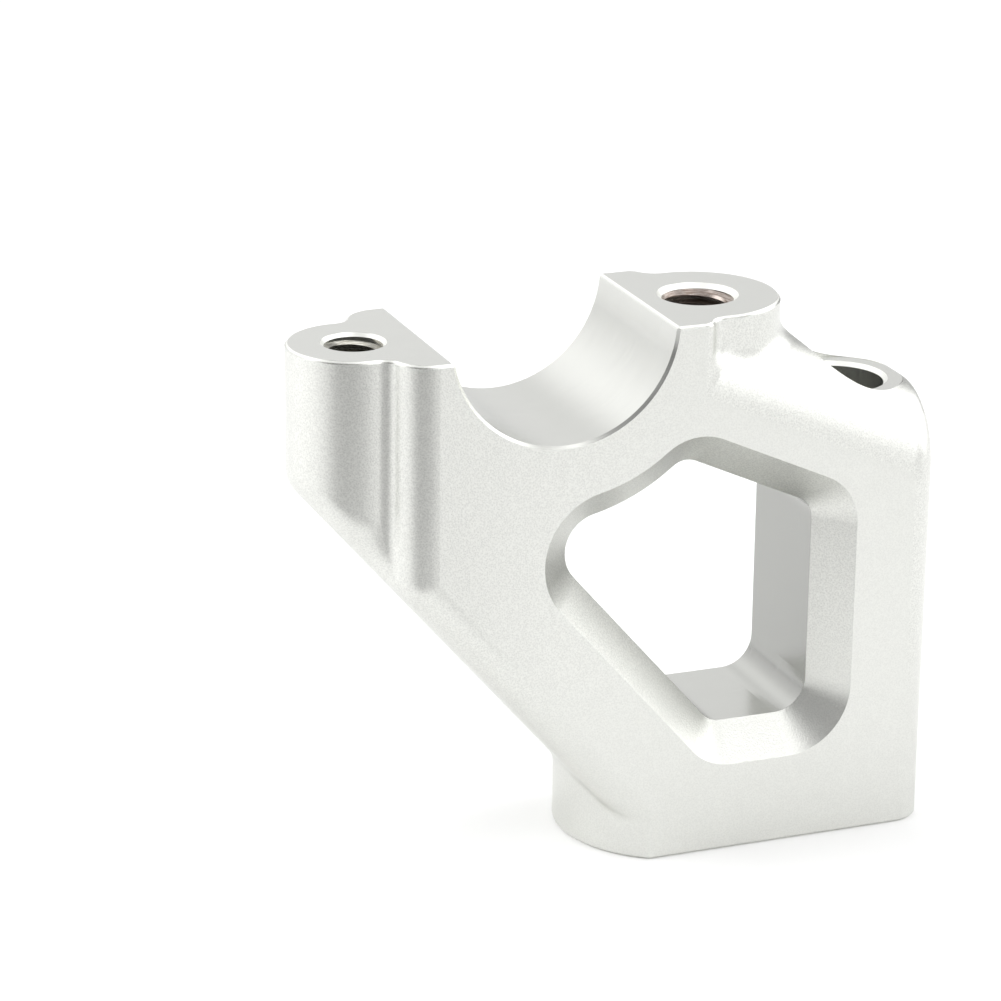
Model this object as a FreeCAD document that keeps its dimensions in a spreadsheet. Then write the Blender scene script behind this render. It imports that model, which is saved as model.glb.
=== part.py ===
import FreeCAD, Part
import math
import os

import Sketcher
from FreeCAD import Vector

# Handlebar riser machined from one aluminium billet, in millimetres.
# Sketches are laid out from the handlebar axis (X = 0, Y = 0) and the base (Z = 0).
# +X runs back to the mounting column, +Y along the handlebar, +Z up.
SIZES = {
    "body_width": 27.8,
    "seat_radius": 16.0,
    "axis_height": 78.5,
    "front_top_drop": 2.9,
    "rear_top_drop": 1.0,
    "front_seat_wall": 5.1,
    "rear_seat_wall": 3.9,
    "front_lobe_inset": 4.7,
    "front_flare_lead": 7.3,
    "front_flare_inner": 2.2,
    "front_flare_outer": 5.2,
    "rear_lobe_inset": 2.5,
    "rear_flare_lead": 4.9,
    "rear_flare_inner": 3.2,
    "rear_flare_outer": 2.0,
    "lobe_root_round": 4.0,
    "brace_angle": 49.0,
    "brace_round": 4.8,
    "foot_start": 5.8,
    "foot_height": 10.4,
    "foot_bulge": 2.3,
    "foot_root_round": 2.0,
    "rear_wall": 1.0,
    "rear_corner": 4.8,
    "rear_edge_round": 2.4,
    "shoulder_angle": 24.5,
    "lobe_wall_height": 5.36,
    "shoulder_ridge": 1.9,
    "window_rear_wall": 12.9,
    "window_floor": 12.8,
    "window_brace_wall": 14.0,
    "window_seat_wall": 7.8,
    "window_shoulder_wall": 15.6,
    "window_tip_round": 10.2,
    "window_peak_round": 8.0,
    "window_rear_top_round": 8.0,
    "window_rear_floor_round": 9.5,
    "window_brace_floor_round": 8.0,
    "window_bevel": 4.8,
    "front_thread": 8.0,
    "rear_thread": 10.0,
    "front_bore_depth": 20.0,
    "rear_bore_depth": 16.0,
    "front_countersink": 1.0,
    "rear_countersink": 1.4,
    "column_bolt_bore": 9.0,
    "bolt_head_bore": 13.6,
    "bolt_head_depth": 9.0,
    "spot_face": 18.8,
    "spot_face_gap": 0.7,
    "spot_face_rise": 0.6,
    "foot_bolt_reach": 17.0,
    "foot_thread": 8.0,
    "foot_bore_depth": 9.0,
    "hole_break": 0.6,
    "edge_break": 0.4,
}

doc = FreeCAD.newDocument("bar_riser")
sheet = doc.addObject("Spreadsheet::Sheet", "Sizes")
for row, (alias, value) in enumerate(SIZES.items(), start=1):
    sheet.set(f"A{row}", alias)
    sheet.set(f"B{row}", str(value))
    sheet.setAlias(f"B{row}", alias)
doc.recompute()


class Measure(float):
    """Length or angle that keeps the sheet expression it was worked out from."""

    def __new__(cls, value, text):
        item = super().__new__(cls, value)
        item.text = text
        return item

    def __add__(self, other):
        return Measure(float(self) + other, f"({self.text} + {text_of(other)})")

    def __sub__(self, other):
        return Measure(float(self) - other, f"({self.text} - {text_of(other)})")

    def __mul__(self, other):
        return Measure(float(self) * other, f"({self.text} * {text_of(other)})")

    def __truediv__(self, other):
        return Measure(float(self) / other, f"({self.text} / {text_of(other)})")


def text_of(number):
    """Expression text of a measure, or the digits of a plain number."""
    return number.text if isinstance(number, Measure) else str(float(number))


def size(alias):
    """One named cell as a measure."""
    return Measure(float(sheet.get(alias)), f"Sizes.{alias}")


def fall(angle):
    """Drop over each millimetre of a slope at an angle in degrees."""
    return Measure(math.tan(math.radians(angle)), f"tan({angle.text} * 1 deg)")


def plane(body, role):
    """Origin plane of a body, found by its role."""
    return next(item for item in body.Origin.OriginFeatures if item.Role == role)


def new_sketch(body, name, role, level=None):
    """Sketch on an origin plane of the body, raised to a level."""
    sketch = body.newObject("Sketcher::SketchObject", name)
    sketch.AttachmentSupport = [(plane(body, role), "")]
    sketch.MapMode = "FlatFace"
    if level:
        sketch.setExpression("AttachmentOffset.Base.z", level.text)
    return sketch


def line(start, end):
    """Straight piece of an outline."""
    return ("line", start, end)


def arc(centre, radius, start, end, turn):
    """Round piece from start to end; turn is +1 anticlockwise and -1 clockwise."""
    return ("arc", centre, radius, start, end, turn)


def draw(sketch, pieces):
    """Closed outline of joined lines and arcs; gives each piece's index."""
    ends = []
    for piece in pieces:
        if piece[0] == "line":
            index = sketch.addGeometry(Part.LineSegment(piece[1], piece[2]), False)
            ends.append((index, 1, 2))
            continue
        centre, radius, start, end, turn = piece[1:]
        first, last = (start, end) if turn > 0 else (end, start)
        first_angle = math.atan2(first.y - centre.y, first.x - centre.x)
        last_angle = math.atan2(last.y - centre.y, last.x - centre.x)
        if last_angle <= first_angle:
            last_angle += 2 * math.pi
        circle = Part.Circle(centre, Vector(0, 0, 1), radius)
        index = sketch.addGeometry(Part.ArcOfCircle(circle, first_angle, last_angle), False)
        ends.append((index, 1, 2) if turn > 0 else (index, 2, 1))
    for (index, _, tail), (other, head, _) in zip(ends, ends[1:] + ends[:1]):
        sketch.addConstraint(Sketcher.Constraint("Coincident", index, tail, other, head))
    return [index for index, _, _ in ends]


def bind(sketch, kind, name, measure, *where):
    """Named dimension of a sketch that takes its value from a measure."""
    number = sketch.addConstraint(Sketcher.Constraint(kind, *where, float(measure)))
    sketch.renameConstraint(number, name)
    sketch.setExpression(f"Constraints.{name}", measure.text)


def feature(body, kind, name, profile):
    """Pad or pocket on a sketch."""
    item = body.newObject(f"PartDesign::{kind}", name)
    item.Profile = profile
    return item


def finish(body, item):
    """Makes the feature the last one of its body and rebuilds it."""
    body.Tip = item
    doc.recompute()


def cut_through(body, name, sketch):
    """Pocket that runs through the part on both sides of its sketch."""
    item = feature(body, "Pocket", name, sketch)
    item.Type = "ThroughAll"
    item.SideType = "Symmetric"
    finish(body, item)
    return item


def meet(first, second):
    """Point shared by two lines, each given as (unit normal, offset)."""
    (a, p), (b, q) = first, second
    det = a.x * b.y - a.y * b.x
    return Vector((p * b.y - q * a.y) / det, (a.x * q - b.x * p) / det, 0)


def shift(line_form, distance):
    """Line moved along its own normal."""
    return line_form[0], line_form[1] + distance


def foot_on(line_form, point):
    """Foot of the perpendicular from a point to a line."""
    normal, offset = line_form
    return point - normal * (normal.dot(point) - offset)


def centre_near(line_form, centre, reach, toward):
    """Point of a line at a reach from centre, on the side that toward points to."""
    middle = foot_on(line_form, centre)
    along = Vector(-line_form[0].y, line_form[0].x, 0)
    step = math.sqrt(reach ** 2 - (middle - centre).Length ** 2)
    side = 1 if along.dot(toward) > 0 else -1
    return middle + along * (step * side)


def between(start, end, radius):
    """Point at a radius from start towards end."""
    span = end - start
    return start + span * (radius / span.Length)


def mirror(point):
    """The same point on the other side of the middle plane."""
    return Vector(point.x, -point.y, 0)


def lobe_side(end_name, reach, radius):
    """Centres and tangent points of a lobe's flare at -Y, from the flat side to the lobe."""
    sign = -1 if end_name == "front" else 1
    inner = size(f"{end_name}_flare_inner")
    outer = size(f"{end_name}_flare_outer")
    lobe = Vector(sign * reach, 0, 0)
    crest = Vector(sign * (reach - size(f"{end_name}_flare_lead")), outer - half_width, 0)
    gap = crest - lobe
    near, far = radius + inner, inner + outer
    along = (gap.Length ** 2 + near ** 2 - far ** 2) / (2 * gap.Length)
    height = math.sqrt(near ** 2 - along ** 2)
    unit = gap / gap.Length
    across = Vector(-unit.y, unit.x, 0)
    if across.x * sign < 0:
        across = -across
    hollow = lobe + unit * along + across * height
    start = Vector(crest.x, -half_width, 0)
    return lobe, hollow, crest, start, between(crest, hollow, outer), between(lobe, hollow, radius)


def sample(edge, count=5):
    """Points spread evenly over an edge, with both ends."""
    first, last = edge.ParameterRange
    return [edge.valueAt(first + (last - first) * step / (count - 1)) for step in range(count)]


def edge_numbers(shape, accept):
    """Numbers of the edges whose points are all accepted."""
    return [number for number, edge in enumerate(shape.Edges, start=1)
            if all(accept(point) for point in sample(edge))]


def edge_names(shape, accept):
    """Names of the edges whose points are all accepted."""
    return [f"Edge{number}" for number in edge_numbers(shape, accept)]


def on_side(point):
    """True on either flat side of the riser."""
    return abs(abs(point.y) - half_width) < TOUCH


def on_line(line_form, point):
    """True on a face whose side view is the line."""
    return abs(line_form[0].dot(Vector(point.x, point.z, 0)) - line_form[1]) < TOUCH


def dress(body, kind, name, base, names, measure):
    """Fillet or chamfer of one measure on named edges of the last feature."""
    item = body.newObject(f"PartDesign::{kind}", name)
    item.Base = (base, names)
    item.setExpression("Radius" if kind == "Fillet" else "Size", measure.text)
    finish(body, item)
    return item


def bolt_circle(name, level, reach, sign, diameter):
    """Circle on a level plane, at a reach from the handlebar axis."""
    sketch = new_sketch(riser, name, "XY_Plane", level)
    centre = Vector(sign * reach, 0, 0)
    index = sketch.addGeometry(Part.Circle(centre, Vector(0, 0, 1), float(diameter / 2)), False)
    ends = (-1, 1, index, 3) if sign > 0 else (index, 3, -1, 1)
    bind(sketch, "DistanceX", "bolt_reach", reach, *ends)
    bind(sketch, "Diameter", "bolt_diameter", diameter, index)
    return sketch


def drilled(name, sketch, diameter, depth=None):
    """Drilled hole, through the part when it has no depth."""
    hole = riser.newObject("PartDesign::Hole", name)
    hole.Profile = sketch
    finish(riser, hole)
    hole.Threaded = False
    hole.setExpression("Diameter", diameter.text)
    hole.DepthType = "Dimension" if depth else "ThroughAll"
    hole.DrillPoint = "Angled" if depth else "Flat"
    if depth:
        hole.setExpression("Depth", depth.text)
    return hole


def countersunk(hole, diameter):
    """Right-angled countersink at the mouth of a hole."""
    hole.HoleCutType = "Countersink"
    hole.HoleCutCountersinkAngle = 90.0
    hole.setExpression("HoleCutDiameter", diameter.text)
    doc.recompute()


TOUCH = 0.01
half_width = size("body_width") / 2
rear_top = size("axis_height") - size("rear_top_drop")
front_top = size("axis_height") - size("front_top_drop")
seat_floor = size("axis_height") - size("seat_radius")
front_thread = size("front_thread")
rear_thread = size("rear_thread")
front_bolt_reach = size("seat_radius") + size("front_seat_wall") + front_thread / 2
rear_bolt_reach = size("seat_radius") + size("rear_seat_wall") + rear_thread / 2
front_lobe_radius = half_width - size("front_lobe_inset")
rear_lobe_radius = half_width - size("rear_lobe_inset")
foot_radius = half_width + size("foot_bulge")
nose_reach = front_bolt_reach + front_lobe_radius
nose_x = -nose_reach
lobe_reach = rear_bolt_reach + rear_lobe_radius
spot_face_radius = size("spot_face") / 2
column_reach = lobe_reach + size("spot_face_gap") + spot_face_radius
rear_reach = column_reach + spot_face_radius + size("rear_wall")
shoulder_run = rear_reach - lobe_reach
shoulder_height = rear_top - size("lobe_wall_height") - shoulder_run * fall(size("shoulder_angle"))
shoulder_round = half_width - size("shoulder_ridge")
spot_face_height = shoulder_height + size("spot_face_rise")
axis = Vector(0, size("axis_height"), 0)

# Lines of the side view, as unit normal and offset.
brace = math.radians(size("brace_angle"))
brace_normal = Vector(math.sin(brace), math.cos(brace), 0)
brace_line = (brace_normal, brace_normal.dot(Vector(size("foot_start"), size("foot_height"), 0)))
shoulder = math.radians(size("shoulder_angle"))
shoulder_normal = Vector(math.sin(shoulder), math.cos(shoulder), 0)
shoulder_line = (shoulder_normal,
                 shoulder_normal.dot(Vector(rear_reach, shoulder_height, 0)))
base_line = (Vector(0, 1, 0), 0.0)
rear_line = (Vector(1, 0, 0), rear_reach)
nose_line = (Vector(1, 0, 0), nose_x)

# Billet blank in side view: brace, column and the shoulder that climbs to the rear lobe.
blank = doc.addObject("PartDesign::Body", "Blank")
blank.Label = "riser_blank"
side = new_sketch(blank, "SideOutline", "XZ_Plane")
seat_inside = size("seat_radius") * 0.75
ridge = meet(shoulder_line, (Vector(1, 0, 0), seat_inside))
brace_foot = meet(brace_line, base_line)
heel = Vector(rear_reach, 0, 0)
column_top = Vector(rear_reach, shoulder_height, 0)
front_edge = Vector(-seat_inside / 2, front_top, 0)
front_nose = Vector(nose_x, front_top, 0)
brace_nose = meet(brace_line, nose_line)
side_pieces = draw(side, [
    line(brace_foot, heel),
    line(heel, column_top),
    line(column_top, ridge),
    line(ridge, front_edge),
    line(front_edge, front_nose),
    line(front_nose, brace_nose),
    line(brace_nose, brace_foot),
])
bind(side, "DistanceX", "rear_reach", rear_reach, -1, 1, side_pieces[0], 2)
bind(side, "DistanceY", "shoulder_height", shoulder_height, -1, 1, side_pieces[1], 2)
bind(side, "DistanceY", "front_top", front_top, -1, 1, side_pieces[4], 1)
side_pad = feature(blank, "Pad", "SidePad", side)
side_pad.SideType = "Symmetric"
side_pad.setExpression("Length", size("body_width").text)
finish(blank, side_pad)


def side_edges(inside):
    """Numbers of the blank's edges on its flat sides that pass a test."""
    return edge_numbers(blank.Shape, lambda point: on_side(point) and inside(point))


# Long rounds over both sides of the shoulder, which meet the smaller corners of the column.
column_edges = side_edges(lambda point: on_line(rear_line, point))
slope_edges = side_edges(lambda point: on_line(shoulder_line, point))
back_edges = edge_numbers(blank.Shape, lambda point: on_line(rear_line, point)
                          and on_line(shoulder_line, point))
rounds = doc.addObject("Part::Fillet", "ShoulderRounds")
rounds.Base = blank
rounds.Edges = [(number, float(radius), float(radius))
                for numbers, radius in ((column_edges, size("rear_corner")),
                                        (back_edges, size("rear_edge_round")),
                                        (slope_edges, shoulder_round))
                for number in numbers]
doc.recompute()

# Finished riser, cut from the rounded blank.
riser = doc.addObject("PartDesign::Body", "Riser")
riser.Label = "riser_body"
riser.BaseFeature = rounds
doc.recompute()

# Flat top of the rear lobe.
rear_face = new_sketch(riser, "RearFace", "XZ_Plane")
clear_top = ridge.y + size("seat_radius")
rear_face_pieces = draw(rear_face, [
    line(Vector(0, rear_top, 0), Vector(rear_reach, rear_top, 0)),
    line(Vector(rear_reach, rear_top, 0), Vector(rear_reach, clear_top, 0)),
    line(Vector(rear_reach, clear_top, 0), Vector(0, clear_top, 0)),
    line(Vector(0, clear_top, 0), Vector(0, rear_top, 0)),
])
bind(rear_face, "DistanceY", "rear_top", rear_top, -1, 1, rear_face_pieces[0], 1)
cut_through(riser, "RearFaceCut", rear_face)

# Rear lobe: full width at the seat, drawn in by S-shaped flares to a round wall about its bolt.
lobe, hollow, crest, flare_start, bend, lobe_start = lobe_side(
    "rear", rear_bolt_reach, rear_lobe_radius)
root = Vector(seat_inside, flare_start.y, 0)
lobe_sketch = new_sketch(riser, "RearLobeOutline", "XY_Plane", rear_top)
lobe_pieces = draw(lobe_sketch, [
    line(root, flare_start),
    arc(crest, size("rear_flare_outer"), flare_start, bend, 1),
    arc(hollow, size("rear_flare_inner"), bend, lobe_start, -1),
    arc(lobe, rear_lobe_radius, lobe_start, mirror(lobe_start), 1),
    arc(mirror(hollow), size("rear_flare_inner"), mirror(lobe_start), mirror(bend), -1),
    arc(mirror(crest), size("rear_flare_outer"), mirror(bend), mirror(flare_start), 1),
    line(mirror(flare_start), mirror(root)),
    line(mirror(root), root),
])
bind(lobe_sketch, "Radius", "rear_lobe_radius", rear_lobe_radius, lobe_pieces[3])
lobe_pad = feature(riser, "Pad", "RearLobe", lobe_sketch)
lobe_pad.Reversed = True
lobe_pad.setExpression("Length", (rear_top - seat_floor).text)
finish(riser, lobe_pad)

# Round in the hollow between the lobe's wall and the shoulder.
root_names = edge_names(riser.Shape, lambda point: (
    flare_start.x - TOUCH < point.x < lobe_reach + TOUCH and seat_floor + TOUCH < point.z
    and point.z < rear_top - TOUCH))
dress(riser, "Fillet", "LobeRootRound", lobe_pad, root_names, size("lobe_root_round"))

# Front lobe, drawn in the same way over the full height of the nose.
lobe, hollow, crest, flare_start, bend, lobe_start = lobe_side(
    "front", front_bolt_reach, front_lobe_radius)
clear_x = nose_x - front_lobe_radius
clear_y = half_width + front_lobe_radius
near_out = Vector(flare_start.x, -clear_y, 0)
near_far = Vector(clear_x, -clear_y, 0)
nose_sketch = new_sketch(riser, "NoseOutline", "XY_Plane")
nose_pieces = draw(nose_sketch, [
    line(near_out, flare_start),
    arc(crest, size("front_flare_outer"), flare_start, bend, -1),
    arc(hollow, size("front_flare_inner"), bend, lobe_start, 1),
    arc(lobe, front_lobe_radius, lobe_start, mirror(lobe_start), -1),
    arc(mirror(hollow), size("front_flare_inner"), mirror(lobe_start), mirror(bend), 1),
    arc(mirror(crest), size("front_flare_outer"), mirror(bend), mirror(flare_start), -1),
    line(mirror(flare_start), mirror(near_out)),
    line(mirror(near_out), mirror(near_far)),
    line(mirror(near_far), near_far),
    line(near_far, near_out),
])
bind(nose_sketch, "Radius", "front_lobe_radius", front_lobe_radius, nose_pieces[3])
nose_cut = cut_through(riser, "NoseCut", nose_sketch)

# Rounds along both edges of the sloping face under the brace.
brace_names = [name for name in edge_names(riser.Shape, lambda point: on_line(brace_line, point))
               if riser.Shape.getElement(name).BoundBox.ZMax > TOUCH]
dress(riser, "Fillet", "BraceRounds", nose_cut, brace_names, size("brace_round"))

# Foot under the brace, with a round front end.
foot_centre = Vector(size("foot_start") + foot_radius, 0, 0)
foot_corner = Vector(foot_centre.x - math.sqrt(foot_radius ** 2 - half_width ** 2), -half_width, 0)
foot_back = Vector(foot_centre.x + foot_radius, -half_width, 0)
foot_sketch = new_sketch(riser, "FootOutline", "XY_Plane")
foot_pieces = draw(foot_sketch, [
    line(foot_corner, foot_back),
    line(foot_back, mirror(foot_back)),
    line(mirror(foot_back), mirror(foot_corner)),
    arc(foot_centre, foot_radius, mirror(foot_corner), foot_corner, 1),
])
bind(foot_sketch, "Radius", "foot_radius", foot_radius, foot_pieces[3])
foot_pad = feature(riser, "Pad", "Foot", foot_sketch)
foot_pad.setExpression("Length", (size("foot_height") + size("foot_height")).text)
finish(riser, foot_pad)
foot_root_names = edge_names(riser.Shape, lambda point: (
    point.x < foot_corner.x + TOUCH and TOUCH < point.z < size("foot_height") + TOUCH))
dress(riser, "Fillet", "FootRootRound", foot_pad, foot_root_names, size("foot_root_round"))

# Half-round seat for the handlebar.
seat_sketch = new_sketch(riser, "SeatCircle", "XZ_Plane")
seat_circle = seat_sketch.addGeometry(Part.Circle(axis, Vector(0, 0, 1), size("seat_radius")), False)
bind(seat_sketch, "Radius", "seat_radius", size("seat_radius"), seat_circle)
bind(seat_sketch, "DistanceY", "axis_height", size("axis_height"), -1, 1, seat_circle, 3)
cut_through(riser, "Seat", seat_sketch)

# Lightening window, drawn at the inner rim of its bevels. Its sides keep even walls to the
# seat, the brace, the shoulder and the column.
bevel = size("window_bevel")
win_rear = (Vector(1, 0, 0), rear_reach - size("window_rear_wall") - bevel)
win_floor = (Vector(0, 1, 0), size("window_floor") + bevel)
win_brace = (brace_normal, brace_line[1] + size("window_brace_wall") + bevel)
win_top = shift(shoulder_line, -size("window_shoulder_wall") - bevel)
seat_wall_radius = size("seat_radius") + size("window_seat_wall") + bevel
tip_round = size("window_tip_round") - bevel
peak_round = size("window_peak_round") - bevel
rear_top_round = size("window_rear_top_round") - bevel
rear_floor_round = size("window_rear_floor_round") - bevel
brace_floor_round = size("window_brace_floor_round") - bevel
rear_top_centre = meet(shift(win_rear, -rear_top_round), shift(win_top, -rear_top_round))
rear_floor_centre = meet(shift(win_rear, -rear_floor_round), shift(win_floor, rear_floor_round))
brace_floor_centre = meet(shift(win_brace, brace_floor_round), shift(win_floor, brace_floor_round))
tip_centre = centre_near(shift(win_brace, tip_round), axis, seat_wall_radius + tip_round,
                         Vector(1, -1, 0))
peak_centre = centre_near(shift(win_top, -peak_round), axis, seat_wall_radius + peak_round,
                          Vector(1, 0, 0))
floor_start = foot_on(win_floor, brace_floor_centre)
floor_end = foot_on(win_floor, rear_floor_centre)
rear_start = foot_on(win_rear, rear_floor_centre)
rear_end = foot_on(win_rear, rear_top_centre)
top_start = foot_on(win_top, rear_top_centre)
top_end = foot_on(win_top, peak_centre)
peak_on_seat = between(axis, peak_centre, seat_wall_radius)
tip_on_seat = between(axis, tip_centre, seat_wall_radius)
brace_start = foot_on(win_brace, tip_centre)
brace_end = foot_on(win_brace, brace_floor_centre)
window_sketch = new_sketch(riser, "WindowOutline", "XZ_Plane")
draw(window_sketch, [
    line(floor_start, floor_end),
    arc(rear_floor_centre, rear_floor_round, floor_end, rear_start, 1),
    line(rear_start, rear_end),
    arc(rear_top_centre, rear_top_round, rear_end, top_start, 1),
    line(top_start, top_end),
    arc(peak_centre, peak_round, top_end, peak_on_seat, 1),
    arc(axis, seat_wall_radius, peak_on_seat, tip_on_seat, -1),
    arc(tip_centre, tip_round, tip_on_seat, brace_start, 1),
    line(brace_start, brace_end),
    arc(brace_floor_centre, brace_floor_round, brace_end, floor_start, 1),
])
window_cut = cut_through(riser, "Window", window_sketch)
window_rim = edge_names(riser.Shape, lambda point: (
    on_side(point) and tip_centre.x - tip_round - TOUCH < point.x < rear_start.x + TOUCH
    and floor_start.y - TOUCH < point.z < peak_centre.y + peak_round + TOUCH))
dress(riser, "Chamfer", "WindowBevels", window_cut, window_rim, bevel)

# Flat recess for the head of the column bolt.
spot_sketch = bolt_circle("SpotFaceCircle", rear_top, column_reach, 1, size("spot_face"))
spot_face = feature(riser, "Pocket", "SpotFace", spot_sketch)
spot_face.setExpression("Length", (rear_top - spot_face_height).text)
finish(riser, spot_face)

# Broken edges: outlines of both top faces, the seat and the base.
break_names = edge_names(riser.Shape, lambda point: abs(point.z - front_top) < TOUCH and point.x < 0)
break_names += edge_names(riser.Shape, lambda point: abs(point.z - rear_top) < TOUCH and point.x > 0)
break_names += edge_names(riser.Shape, lambda point: abs(point.z) < TOUCH)
break_names += edge_names(riser.Shape, lambda point: on_side(point) and abs(
    Vector(point.x, point.z, 0).distanceToPoint(axis) - size("seat_radius")) < TOUCH)
dress(riser, "Chamfer", "EdgeBreaks", spot_face, break_names, size("edge_break"))

# Threaded holes of the handlebar clamp.
front_sketch = bolt_circle("FrontBoltCircle", front_top, front_bolt_reach, -1, front_thread)
front_bore = drilled("FrontBore", front_sketch, front_thread, size("front_bore_depth"))
countersunk(front_bore, front_thread + size("front_countersink"))
rear_sketch = bolt_circle("RearBoltCircle", rear_top, rear_bolt_reach, 1, rear_thread)
rear_bore = drilled("RearBore", rear_sketch, rear_thread, size("rear_bore_depth"))
countersunk(rear_bore, rear_thread + size("rear_countersink"))

# Bolt hole down the column, with a counterbore for the bolt head.
column_bolt = size("column_bolt_bore")
column_sketch = bolt_circle("ColumnBoltCircle", spot_face_height, column_reach, 1, column_bolt)
column_bore = drilled("ColumnBore", column_sketch, column_bolt)
column_bore.HoleCutType = "Counterbore"
column_bore.setExpression("HoleCutDiameter", size("bolt_head_bore").text)
column_bore.setExpression("HoleCutDepth", size("bolt_head_depth").text)
doc.recompute()

# Threaded hole up into the foot, from the base.
foot_reach = size("foot_bolt_reach")
foot_thread = size("foot_thread")
foot_bolt_sketch = bolt_circle("FootBoltCircle", None, foot_reach, 1, foot_thread)
foot_bore = drilled("FootBore", foot_bolt_sketch, foot_thread, size("foot_bore_depth"))
foot_bore.Reversed = True
doc.recompute()


def rim_names(reach, diameter, level):
    """Names of the edges that make a hole's rim at a level."""
    centre = Vector(reach, 0, level)
    return edge_names(riser.Shape, lambda point: (
        abs(point.z - level) < TOUCH and abs(point.distanceToPoint(centre) - diameter / 2) < TOUCH))


# Broken rims of the two mounting holes.
rims = rim_names(column_reach, size("bolt_head_bore"), spot_face_height)
rims += rim_names(column_reach, column_bolt, 0)
rims += rim_names(foot_reach, foot_thread, 0)
dress(riser, "Chamfer", "RimBreaks", foot_bore, rims, size("hole_break"))

# The shared frame has its origin at the middle of the base.
riser.setExpression("Placement.Base.x", ((nose_reach - rear_reach) / 2).text)
doc.recompute()

for item in doc.Objects:
    if "Invalid" in item.State or "Error" in item.State:
        raise RuntimeError(f"{item.Name} did not build: {item.State}")
    if hasattr(item, "Shape") and item.TypeId.startswith(("PartDesign", "Part::Fillet")):
        if item.Shape.isNull() or not item.Shape.isValid():
            raise RuntimeError(f"{item.Name} has no sound shape")
if len(riser.Shape.Solids) != 1:
    raise RuntimeError("the riser is not one solid")

os.makedirs("parts", exist_ok=True)
riser.Shape.exportStep("parts/riser_body.step")
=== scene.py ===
"""Machined handlebar riser, dressed in its blasted and milled aluminium.

Lengths are in metres and share the frame of the solid: +X towards the mounting column,
+Y along the handlebar, +Z up, with the base on the floor.
"""
import logging
import math
from dataclasses import dataclass, field
from enum import Enum
from functools import reduce

import bpy
import numpy as np
from mathutils import Matrix


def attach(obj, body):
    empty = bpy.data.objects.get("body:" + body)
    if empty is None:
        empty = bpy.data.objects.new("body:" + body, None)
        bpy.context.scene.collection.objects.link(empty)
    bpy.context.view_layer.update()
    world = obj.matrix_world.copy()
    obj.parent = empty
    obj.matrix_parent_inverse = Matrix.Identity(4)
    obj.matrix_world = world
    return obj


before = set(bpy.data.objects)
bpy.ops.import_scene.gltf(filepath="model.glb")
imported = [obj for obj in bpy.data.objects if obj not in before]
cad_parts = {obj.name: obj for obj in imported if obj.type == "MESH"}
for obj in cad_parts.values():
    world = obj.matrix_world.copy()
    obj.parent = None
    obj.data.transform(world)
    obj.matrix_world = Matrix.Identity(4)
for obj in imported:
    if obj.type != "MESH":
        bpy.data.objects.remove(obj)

LOG = logging.getLogger("riser")
MM = 0.001
PIT_REACH = 0.8  # distance from a pit's middle to its rim, in cells of the grain
PIT_SHARE = 0.6  # height of a pit's rim beside the fine noise
MOTTLE_SCALE = 0.35  # clouds for each millimetre


class Mouth(Enum):
    """The way that a threaded hole opens."""

    UP = 1
    DOWN = -1


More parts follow.
